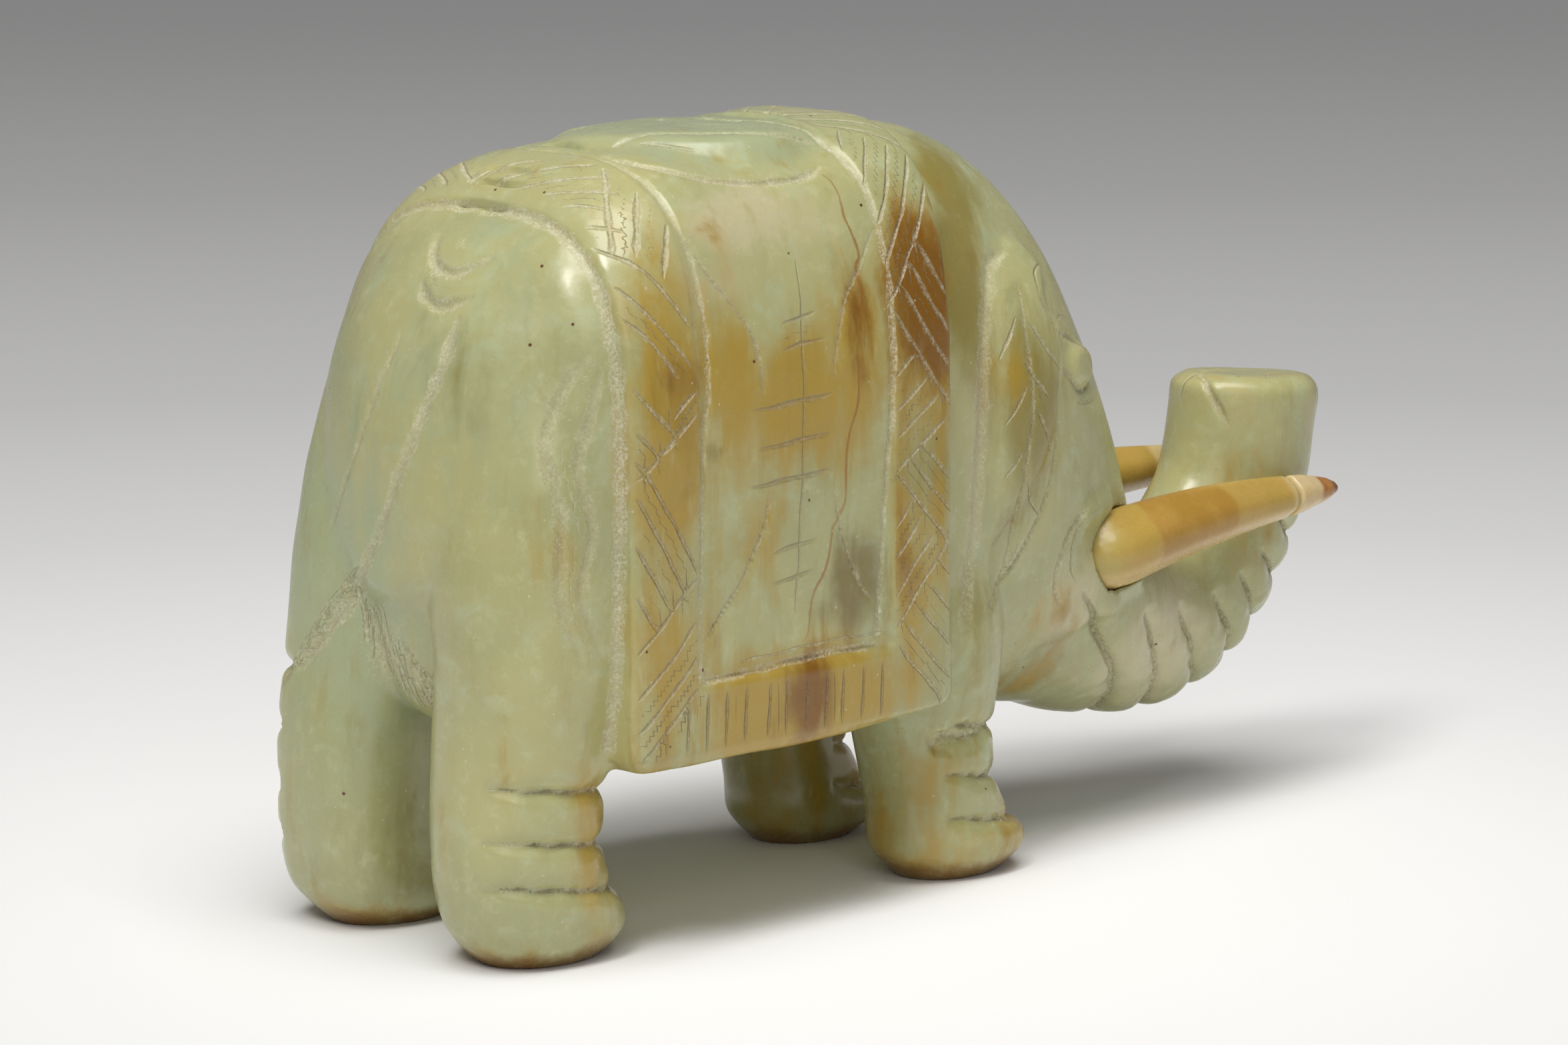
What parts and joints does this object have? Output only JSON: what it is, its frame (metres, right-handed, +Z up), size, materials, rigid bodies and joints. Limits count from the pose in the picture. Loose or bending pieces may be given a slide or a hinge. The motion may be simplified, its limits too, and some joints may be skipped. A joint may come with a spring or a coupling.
{
  "type": "jade elephant figurine",
  "caption": "Carved jade elephant standing on flat soles, wearing a fringed saddle cloth, with its trunk curled up and honey stone tusks set in its cheeks",
  "frame": {"origin": "middle of the length and width, on the surface that the four soles stand on", "axes": "+Z up, the elephant faces -Y, its left side is at +X"},
  "size_m": [0.0428, 0.1226, 0.0745],
  "materials": {
    "jade": "polished pale celadon nephrite with honey and brown patches and chalky wear in the engraved lines",
    "honey_stone": "polished translucent honey yellow",
    "russet_stone": "polished cream turning russet brown at the point"
  },
  "bodies": {
    "root": {"carved_body": "jade", "right_tusk": "honey_stone", "right_tusk_tip": "russet_stone", "left_tusk": "honey_stone"}
  },
  "joints": []
}
